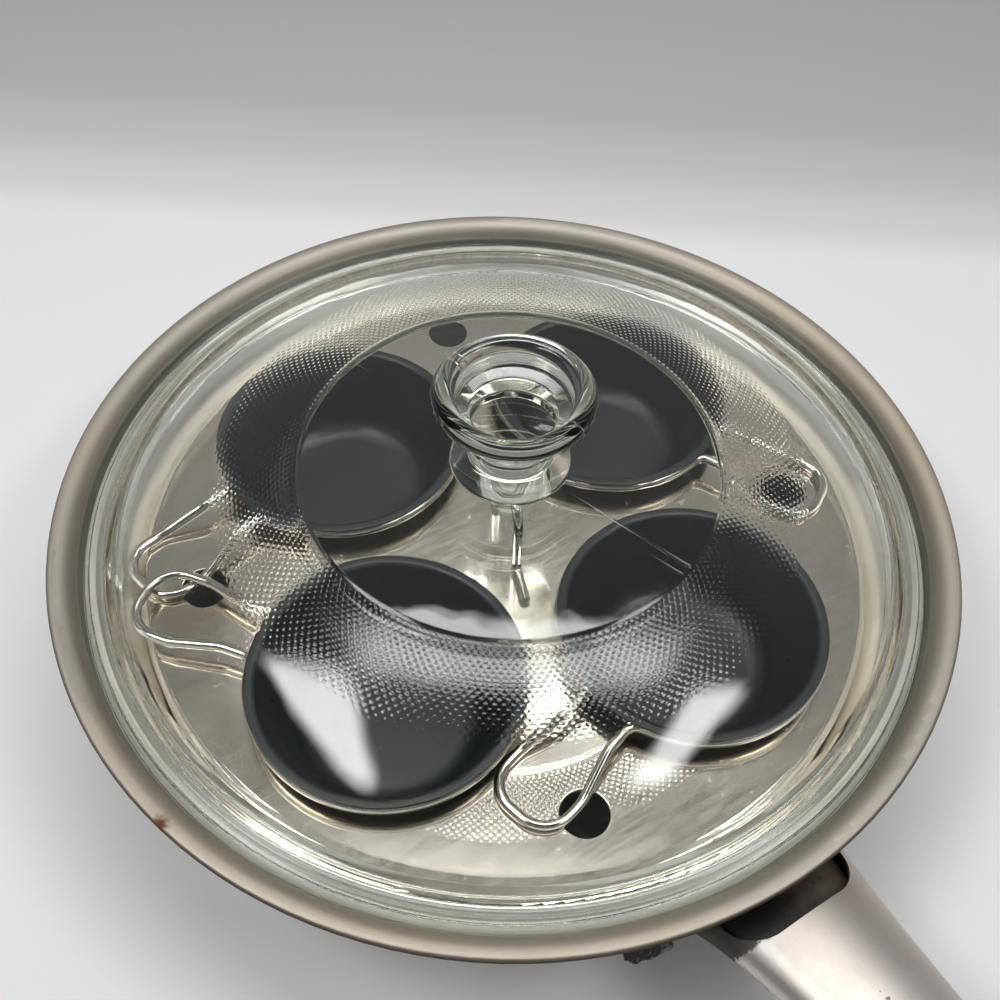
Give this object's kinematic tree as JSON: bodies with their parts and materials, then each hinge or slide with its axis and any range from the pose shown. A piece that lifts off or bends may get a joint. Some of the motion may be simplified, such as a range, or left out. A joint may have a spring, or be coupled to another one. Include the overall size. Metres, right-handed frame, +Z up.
{
  "type": "egg poacher pan",
  "caption": "Deep steel skillet with a hollow handle, a domed glass lid with a moulded knob, and a lift-out tray that holds non-stick egg cups in wire cradles.",
  "frame": {"origin": "centre of the pan's underside, on the surface it stands on", "axes": "+Z up along the pan's axis, +X out along the handle"},
  "size_m": [0.464, 0.27, 0.1073],
  "materials": {
    "pan_steel": "satin, turned on the rim",
    "handle_steel": "satin, heat-tinted near the pan",
    "stained_steel": "heat-stained",
    "insert_steel": "bright",
    "wire_steel": "bright drawn wire",
    "core_aluminium": "mill",
    "nonstick": "non-stick coating, semi-gloss",
    "lid_glass": "clear pressed glass with a stippled band"
  },
  "bodies": {
    "pan": {"pan_body": "pan_steel", "base_core": "core_aluminium", "base_cover": "pan_steel", "handle_bracket": "stained_steel", "handle_upper_shell": "handle_steel", "handle_lower_shell": "handle_steel", "hang_eyelet": "wire_steel"},
    "lid": {"lid": "lid_glass"},
    "insert": {"insert_tray": "insert_steel", "insert_lifter": "wire_steel"},
    "cup_right": {"egg_cup_right": "nonstick", "cup_wire_right": "wire_steel"},
    "cup_rear": {"egg_cup_rear": "nonstick", "cup_wire_rear": "wire_steel"},
    "cup_left": {"egg_cup_left": "nonstick", "cup_wire_left": "wire_steel"},
    "cup_front": {"egg_cup_front": "nonstick", "cup_wire_front": "wire_steel"}
  },
  "joints": [
    {"name": "lid_lift", "type": "slide", "parent": "pan", "child": "lid", "axis": [0, 0, 1], "range_m": [0, 0.16]},
    {"name": "insert_lift", "type": "slide", "parent": "pan", "child": "insert", "axis": [0, 0, 1], "range_m": [0, 0.065]},
    {"name": "cup_right_lift", "type": "slide", "parent": "insert", "child": "cup_right", "axis": [0, 0, 1], "range_m": [0, 0.05]},
    {"name": "cup_rear_lift", "type": "slide", "parent": "insert", "child": "cup_rear", "axis": [0, 0, 1], "range_m": [0, 0.05]},
    {"name": "cup_left_lift", "type": "slide", "parent": "insert", "child": "cup_left", "axis": [0, 0, 1], "range_m": [0, 0.05]},
    {"name": "cup_front_lift", "type": "slide", "parent": "insert", "child": "cup_front", "axis": [0, 0, 1], "range_m": [0, 0.05]}
  ],
  "couplings": [
    {"joint": "insert_lift", "follows": "lid_lift", "ratio": 0.4},
    {"joint": "cup_right_lift", "follows": "lid_lift", "ratio": 0.3},
    {"joint": "cup_rear_lift", "follows": "lid_lift", "ratio": 0.3},
    {"joint": "cup_left_lift", "follows": "lid_lift", "ratio": 0.3},
    {"joint": "cup_front_lift", "follows": "lid_lift", "ratio": 0.3}
  ]
}
